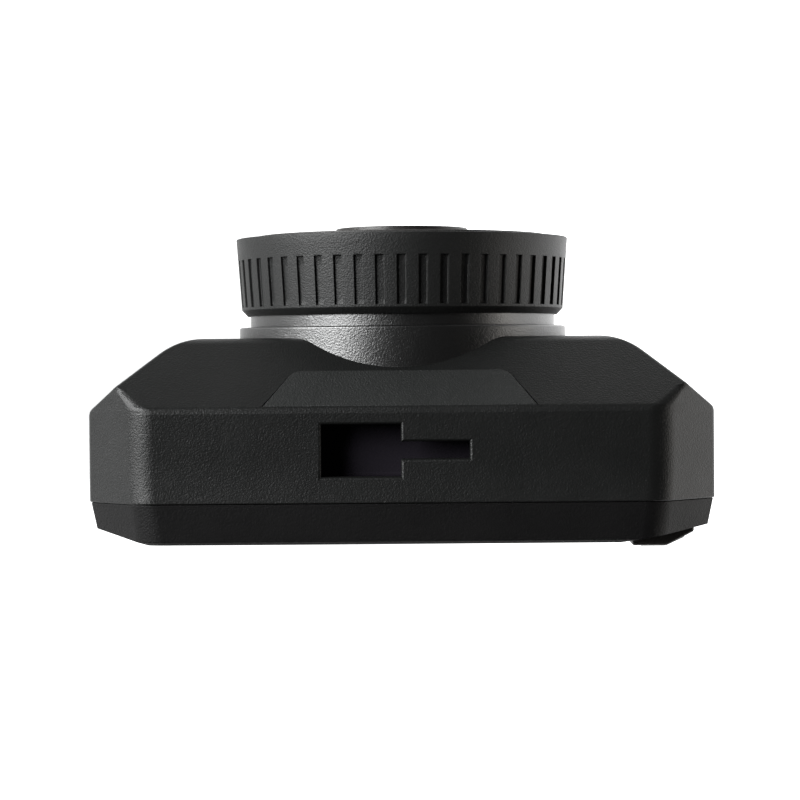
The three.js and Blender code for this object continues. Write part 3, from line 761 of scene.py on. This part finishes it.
def front_plate():
    """The disc that closes the ring's front, with a shallow groove near its edge."""
    rear = PLATE_FRONT + 1.55
    hole = BEZEL_RADIUS + 0.12
    plate = turned("front_plate_disc", [
        (hole, PLATE_FRONT, 0.1), (PLATE_RADIUS - 2.1, PLATE_FRONT, 0.1),
        (PLATE_RADIUS - 1.9, PLATE_FRONT + 0.15, 0.05),
        (PLATE_RADIUS - 1.6, PLATE_FRONT + 0.15, 0.05),
        (PLATE_RADIUS - 1.4, PLATE_FRONT, 0.1), (PLATE_RADIUS, PLATE_FRONT, 0.12),
        (PLATE_RADIUS, rear, 0.1), (NECK_BORE - 0.2, rear, 0), (NECK_BORE - 0.2, rear + 1.2, 0.1),
        (NECK_BORE - 2, rear + 1.2, 0.1), (NECK_BORE - 2, rear, 0), (hole, rear, 0.1)])
    return finish_piece(plate, "plate_plastic", "camera_body", ["lens_front_plate"])


def lens_bezel():
    """Centre disc with a stepped baffle down to the cover glass."""
    rear = PLATE_FRONT + 2.55
    bezel = turned("lens_bezel_baffle", [
        (5.6, BEZEL_FRONT + 1.7, 0.05),
        (6.1, BEZEL_FRONT + 1.25, 0.05), (6.3, BEZEL_FRONT + 1.25, 0.05),
        (6.7, BEZEL_FRONT + 0.8, 0.05), (6.9, BEZEL_FRONT + 0.8, 0.05),
        (7.4, BEZEL_FRONT + 0.15, 0.05),
        (7.55, BEZEL_FRONT, 0.05), (BEZEL_RADIUS, BEZEL_FRONT, 0.15),
        (BEZEL_RADIUS, rear, 0.1), (7.3, rear, 0.1), (7.3, BEZEL_FRONT + 2.4, 0),
        (5.6, BEZEL_FRONT + 2.4, 0.05)])
    return finish_piece(bezel, "bezel_plastic", "camera_body", ["lens_bezel"])


# ---- rear cover --------------------------------------------------------------------
POSTS = [(x, z) for x in (-30.5, 30.5) for z in (-23, 23)]
POST_RADIUS = 2.8
HEAD_HOLE = 2.05
SHANK_HOLE = 1.15
COVER_GAP = 0.06  # how far the cover's edge stays off the shell's
COVER_TOP_DRAFT = 0.08  # the top and the facets come in by this much per millimetre
COVER_FACET_DRAFT = 0.16
COVER_CHAMFER = 0.4  # round the cover's back


def cover_half(y):
    """Half width of the cover at depth y."""
    return HALF_WIDTH - COVER_INSET - COVER_DRAFT * (y - SEAM)


def cover_profile(outer, inset=0.0):
    """[half extent, y] from the seam back to the rear plane."""
    front = SEAM + COVER_GAP
    edge = REAR - inset - COVER_CHAMFER
    last = outer(REAR) - inset - COVER_CHAMFER
    corners = [(outer(SEAM) - inset - 1, front, 0), (outer(front) - inset, front, 0.1),
               (outer(edge) - inset, edge, 0.2), (last, REAR - inset, 0.2),
               (last - 8, REAR - inset, 0)]
    return rounded_path(corners, 10)[1:-1]


def cover_height(y):
    """Half height of the cover at depth y."""
    return HALF_HEIGHT - COVER_INSET - COVER_TOP_DRAFT * (y - SEAM)


def cover_facet(y):
    """Distance from the lens axis to the cover's corner facets at depth y."""
    return FACET - COVER_INSET - COVER_FACET_DRAFT * (y - SEAM)


def bevel_tool(direction, width, inset):
    """Cutter for the shallow bevel that runs down one side of the cover."""
    inner = Vector((HALF_WIDTH - width, REAR))
    outer = Vector((cover_half(REAR - BEVEL_DROP), REAR - BEVEL_DROP))
    along = (outer - inner).normalized()
    inwards = Vector((along.y, -along.x)) * inset
    corners = [inner - along * 4 + inwards, outer + along * 6 + inwards,
               outer + Vector((6, 8)), inner + Vector((-4, 8))]  # well clear behind the cover
    outline = [(direction * x, y) for x, y in corners]
    return extruded("bevel_tool", outline, [(-40, 0), (40, 0)], facing_up)


def cover_skin(name, inset, front=None):
    """The closed outer or inner form of the rear cover, drawn out straight to `front`."""
    outlines = (cover_half, cover_height, cover_facet)
    side, high, facet = [cover_profile(outer, inset) for outer in outlines]
    rings = []
    for y in merged_levels(side, high, facet):
        wide, tall, cut = [half_at(profile, y) for profile in (side, high, facet)]
        rings.append(section(y, wide, tall, tall, cut, MOST_ROUND, LEAST_ROUND))
    if front:
        behind_rim = rings[8]
        rings[:1] = [[(x, front, z) for x, y, z in behind_rim]]
    cover = loft(name, rings)
    combine(cover, bevel_tool(1, SIDE_BEVEL, inset), "DIFFERENCE")
    return combine(cover, bevel_tool(-1, KEY_BEVEL, inset), "DIFFERENCE")


def window_recess():
    """Cutters for the window's shallow bed and for the view opening behind it."""
    (left, _, _), (right, _, half) = drawing_box("display_window")
    left -= 0.1
    right += 0.1
    half += 0.1
    outline = rounded_rectangle(left, right, -half, half, 1.6)
    levels = [(REAR - 1.2, 0), (REAR - 0.15, 0), (REAR + 0.85, -1)]
    bed = extruded("window_bed", outline, levels, facing_rear)
    opening = box_tool("view_opening", (left + 2.1, 20, 1.2 - half), (right - 2.1, 30, half - 1.2))
    return [bed, opening]


def key_strip_opening():
    """Cutter for the opening that the key strip stands in."""
    (left, _, low), (right, _, high) = drawing_box("key_strip")
    outline = rounded_rectangle(left - 0.12, right + 0.12, low - 0.12, high + 0.12, 0.6)
    return extruded("key_opening", outline, [(18, 0), (30, 0)], facing_rear)


def rear_cover():
    """The rear housing half, hollow, with its screw posts and openings."""
    cover = cover_skin("cover_moulding", 0)
    for cutter in [cover_skin("cover_hollow", WALL, SEAM - 1), *window_recess(), key_strip_opening()]:
        combine(cover, cutter, "DIFFERENCE")
    for at in POSTS:
        combine(cover, disc("post", POST_RADIUS, SEAM + 0.3, REAR - WALL + 0.4, at, 32), "UNION")
        combine(cover, disc("head_hole", HEAD_HOLE, 23.6, REAR + 1, at, 48), "DIFFERENCE")
        combine(cover, disc("shank_hole", SHANK_HOLE, SEAM - 1, REAR + 1, at, 24), "DIFFERENCE")
    return finish_piece(cover, "cover_plastic", "camera_body", ["rear_cover"], sharp=20)


def display_window():
    """The clear pane over the screen."""
    (left, front, bottom), (right, rear, top) = drawing_box("display_window")
    outline = rounded_rectangle(left, right, bottom, top, 1.5)
    pane = extruded("screen_window_pane", outline, rim_levels(front, rear, 0, 0.15), facing_rear)
    return finish_piece(pane, "window_acrylic", "camera_body", ["display_window"])


def case_screws():
    """Four cross-head screws sunk into the cover's corners."""
    for name in ("lower_left", "upper_left", "lower_right", "upper_right"):
        (left, front, bottom), (right, head, top) = drawing_box(f"case_screw_{name}")
        at = ((left + right) / 2, (bottom + top) / 2)
        radius = (right - left) / 2
        screw = turned(f"screw_{name}", [
            (0, front, 0), (1, front + 0.6, 0), (1, head - 1.3, 0), (radius, head - 1.3, 0.08),
            (radius, head - 0.5, 0.15), (1.4, head, 0.6), (0, head, 0)], at, 40)
        for width, height in ((0.3, 1.1), (1.1, 0.3)):
            slot = box_tool("cross_slot", (at[0] - width, head - 0.8, at[1] - height),
                            (at[0] + width, head + 1, at[1] + height))
            combine(screw, slot, "DIFFERENCE")
        finish_piece(screw, "screw_steel", "camera_body", [f"case_screw_{name}"])


# ---- keys --------------------------------------------------------------------------
KEY_NAMES = ("power", "menu", "up", "down", "record")
KEY_FLAT_END = -33.9  # the keys and their strip are flat up to here and slope down beyond
KEY_PROUD = 1.15
STRIP_PROUD = 0.95
KEY_FLANGE = 0.5  # a key's flange reaches this far past its cap
KEY_HOLE_SIDE = 0.22  # a key's hole in the strip is this much smaller than its flange
KEY_HOLE_END = 0.23


def cover_bevel(x):
    """Depth of the key-side bevel's surface at x."""
    start = KEY_BEVEL - HALF_WIDTH
    end = -cover_half(REAR - BEVEL_DROP)
    return REAR - BEVEL_DROP * (start - x) / (start - end)


def bar(name, profile, z0, z1, edge):
    """A bar along z with the given [x, y] profile, rounded over at its two ends."""
    return extruded(name, profile, rim_levels(z0, z1, edge, edge), facing_up)


def key_strip():
    """The raised strip round the keys, with a hole for each."""
    (left, _, bottom), (right, _, high) = drawing_box("key_strip")
    top = REAR + STRIP_PROUD
    profile = rounded_path([
        (left, top - 1.8, 0.35), (KEY_FLAT_END, top, 1.5), (right, top, 0.3),
        (right, cover_bevel(right) - 1.6, 0), (left, cover_bevel(left) - 1.6, 0)], 6)
    strip = bar("key_strip_moulding", profile, bottom, high, 0.35)
    for name in KEY_NAMES:
        (key_left, _, key_low), (key_right, _, key_high) = drawing_box(f"{name}_key")
        outline = rounded_rectangle(key_left + KEY_HOLE_SIDE, key_right - KEY_HOLE_SIDE,
                                    key_low + KEY_HOLE_END, key_high - KEY_HOLE_END, 0.9)
        combine(strip, extruded("key_hole", outline, [(15, 0), (30, 0)], facing_rear), "DIFFERENCE")
    return finish_piece(strip, "strip_plastic", "camera_body", ["key_strip"])


def symbol_tools(name, x, z):
    """Cutters for the plain symbol let into a key's flat, about 1.6 mm across."""
    floor, clear = REAR + KEY_PROUD - 0.12, REAR + KEY_PROUD + 1

    def shape(points):
        return extruded("symbol", [(x + u, z + v) for u, v in points], [(floor, 0), (clear, 0)],
                        facing_rear)

    if name == "power":
        return [shape([(-0.12, -0.8), (0.12, -0.8), (0.12, 0.8), (-0.12, 0.8)])]
    if name == "menu":
        return [shape([(-0.8, v - 0.1), (0.8, v - 0.1), (0.8, v + 0.1), (-0.8, v + 0.1)])
                for v in (-0.5, 0, 0.5)]
    if name == "record":
        return [disc("symbol", 0.65, floor, clear, (x, z), 32)]
    point = 0.7 if name == "up" else -0.7
    return [shape([(-0.8, -point), (0.8, -point), (0, point)])]


def key_flange(left, right, low, high):
    """The rim that holds a key in behind the strip, along the slope of the bevel."""
    profile = [(left, cover_bevel(left) - 1.7), (right, cover_bevel(right) - 1.7),
               (right, cover_bevel(right) - 2.4), (left, cover_bevel(left) - 2.4)]
    return bar("flange", profile, low, high, 0)


def keys():
    """Five keys: a bent cap with a flange, a stem down to its switch and a symbol."""
    for name in KEY_NAMES:
        (low_x, foot, low_z), (high_x, _, high_z) = drawing_box(f"{name}_key")
        left, right = low_x + KEY_FLANGE, high_x - KEY_FLANGE
        middle = (low_z + high_z) / 2
        top = REAR + KEY_PROUD
        profile = rounded_path([
            (left, top - 1.1, 0.3), (KEY_FLAT_END, top, 1.2), (right, top, 0.3),
            (right, cover_bevel(right) - 2, 0), (left, cover_bevel(left) - 2, 0)], 6)
        key = bar(f"{name}_key_cap", profile, low_z + KEY_FLANGE, high_z - KEY_FLANGE, 0.3)
        combine(key, key_flange(low_x, high_x, low_z, high_z), "UNION")
        combine(key, disc("stem", 1.2, foot, 24, ((left + right) / 2, middle), 24), "UNION")
        for tool in symbol_tools(name, (KEY_FLAT_END + right) / 2, middle):
            combine(key, tool, "DIFFERENCE")
        finish_piece(key, "key_plastic", f"{name}_push_key", [f"{name}_key"])


# ---- sockets -----------------------------------------------------------------------
def usb_socket():
    """Rounded steel shell of the power socket with its plastic tongue."""
    (inner_end, front, _), (mouth, rear, half) = drawing_box("usb_socket")
    outline = rounded_rectangle(front, rear, -half, half, 1.3)
    shell = extruded("usb_socket_shell", outline, rim_levels(inner_end, mouth, 0.1, 0.12), facing_side)
    bore = rounded_rectangle(front + 0.35, rear - 0.35, 0.35 - half, half - 0.35, 1)
    levels = [(inner_end + 1, 0), (mouth + 1, 0)]
    combine(shell, extruded("socket_mouth", bore, levels, facing_side), "DIFFERENCE")
    finish_piece(shell, "socket_steel", "camera_body", ["usb_socket"])
    outline = rounded_rectangle(front + 1.5, front + 2.3, -2.6, 2.6, 0.25)
    levels = rim_levels(inner_end + 0.8, mouth - 1.5, 0, 0.2)
    tongue = extruded("usb_socket_tongue", outline, levels, facing_side)
    finish_piece(tongue, "chip_black", "camera_body", ["usb_socket"])


def bracket_pocket():
    """Open box behind the bracket slot, its floor edges rounded."""
    (left, front, floor), (right, rear, top) = drawing_box("bracket_pocket")
    outer = [(left, front), (right, front), (right, rear), (left, rear)]
    pocket = extruded("bracket_pocket_box", outer, [(floor, 0), (top, 0)], facing_up)
    levels = rim_levels(floor + 1, top, 0.5) + [(top + 1, 0)]
    cavity = extruded("pocket_cavity", grown(outer, -0.8), levels, facing_up)
    combine(pocket, cavity, "DIFFERENCE")
    return finish_piece(pocket, "pocket_plastic", "camera_body", ["bracket_pocket"])


build_steps = [front_shell, lens_boss, slope_pad, lens_neck, lens_ring, front_plate, lens_bezel,
               rear_cover, display_window, case_screws, key_strip, keys, usb_socket, bracket_pocket]
for step in build_steps:
    step()


# ---- stage, light and camera -------------------------------------------------------
def floor():
    """Pale floor that glows as painted light: most where the key lamp casts the object's shadow, to
    wash it out, and past the lamp's reach; less where the lamp shines on it or the object reflects it.
    """
    mesh = bpy.data.meshes.new("floor")
    reach = 3.0
    below = -0.0001
    corners = [(-reach, -reach), (reach, -reach), (reach, reach), (-reach, reach)]
    mesh.from_pydata([(x, y, below) for x, y in corners], [], [(0, 1, 2, 3)])
    obj = bpy.data.objects.new("floor", mesh)
    bpy.context.scene.collection.objects.link(obj)
    n = Nodes("floor_paint")
    n.shader.inputs["Roughness"].default_value = 0.9
    n.shader.inputs["Emission Color"].default_value = (1, 1, 1, 1)
    n.join(n.ramp(n.noise(3), [(0, (0.4, 0.4, 0.4)), (1, (0.42, 0.42, 0.42))]),
           n.shader.inputs["Base Color"])
    axes = n.add("ShaderNodeSeparateXYZ")
    n.join(n.place(), axes.inputs["Vector"])
    # Painted light: the glow rises towards -x and behind the body, where the key lamp casts the
    # object's shadow, so that shadow is washed out.
    across = n.span(axes.outputs["X"], 1.9, 0.16, -0.02, 0.04)
    behind = n.span(axes.outputs["Y"], 0, 1, 0.012, 0.022)
    near_front = n.span(axes.outputs["Y"], 0.45, 1, -0.15, -0.07)
    past_lamp = n.span(axes.outputs["X"], 0, 1.1, 0.6, 1.0)
    shadow_filling_glow = n.calculate("MULTIPLY", n.calculate("MAXIMUM", across, behind), near_front)
    glow = n.calculate("MAXIMUM", shadow_filling_glow, past_lamp)
    n.join(glow, n.shader.inputs["Emission Strength"])
    mesh.materials.append(n.material)


def softbox(name, place, target, width, height, watts, colour):
    light = bpy.data.lights.new(name, "AREA")
    light.shape = "RECTANGLE"
    light.size = width
    light.size_y = height
    light.energy = watts
    light.color = colour
    lamp = bpy.data.objects.new(name, light)
    lamp.location = place
    lamp.rotation_euler = (Vector(target) - Vector(place)).to_track_quat("-Z", "Y").to_euler()
    bpy.context.scene.collection.objects.link(lamp)


KEY_FROM_ZENITH = math.radians(56)
KEY_DISTANCE = 0.7


def light_scene():
    """Dim room with a strong softbox high on one side and a weak low one on the other."""
    world = bpy.data.worlds.new("studio")
    world.use_nodes = True
    background = world.node_tree.nodes["Background"]
    background.inputs["Color"].default_value = (1, 1, 1, 1)
    background.inputs["Strength"].default_value = 0.06
    bpy.context.scene.world = world
    middle = Vector((0, 0, 0.04))
    key = Vector((math.sin(KEY_FROM_ZENITH) * KEY_DISTANCE, -0.28,
                  math.cos(KEY_FROM_ZENITH) * KEY_DISTANCE))
    softbox("key_box", middle + key, middle, 0.5, 0.66, 23.5, (0.99, 1.0, 1.0))
    softbox("low_box", (-0.6, 0.05, 0.1), middle, 0.5, 0.2, 1.3, (1.0, 0.96, 0.9))


CAMERA_HEIGHT = 0.3255  # metres above the lens axis
CAMERA_BEHIND = 1.72  # millimetres behind the front plane
CAMERA_SIDE = -5.07  # millimetres to the side of the lens axis
SENSOR_WIDTH = 36
FOCAL_LENGTH = 107.55
TILT = math.radians(1.1985)
SWING = math.radians(0.9588)
ROLL = math.radians(0.487)


def place_camera():
    """Camera above the top face, looking all but straight down, with the lens side up."""
    data = bpy.data.cameras.new("camera")
    data.sensor_width = SENSOR_WIDTH
    data.lens = FOCAL_LENGTH
    data.clip_start = 0.01
    data.clip_end = 20
    camera = bpy.data.objects.new("camera", data)
    straight_down = Matrix(((-1, 0, 0), (0, -1, 0), (0, 0, 1)))
    roll = Matrix.Rotation(-ROLL, 3, "Z")
    tilt = Matrix.Rotation(-TILT, 3, "X")
    swing = Matrix.Rotation(SWING, 3, "Y")
    turn = straight_down @ roll @ tilt @ swing
    camera.matrix_world = turn.to_4x4()
    camera.location = to_row(CAMERA_SIDE, CAMERA_BEHIND, 0) + Vector((0, 0, CAMERA_HEIGHT))
    bpy.context.scene.collection.objects.link(camera)
    bpy.context.scene.camera = camera


floor()
light_scene()
place_camera()
bpy.context.scene.view_settings.view_transform = "Standard"

bpy.context.view_layer.update()
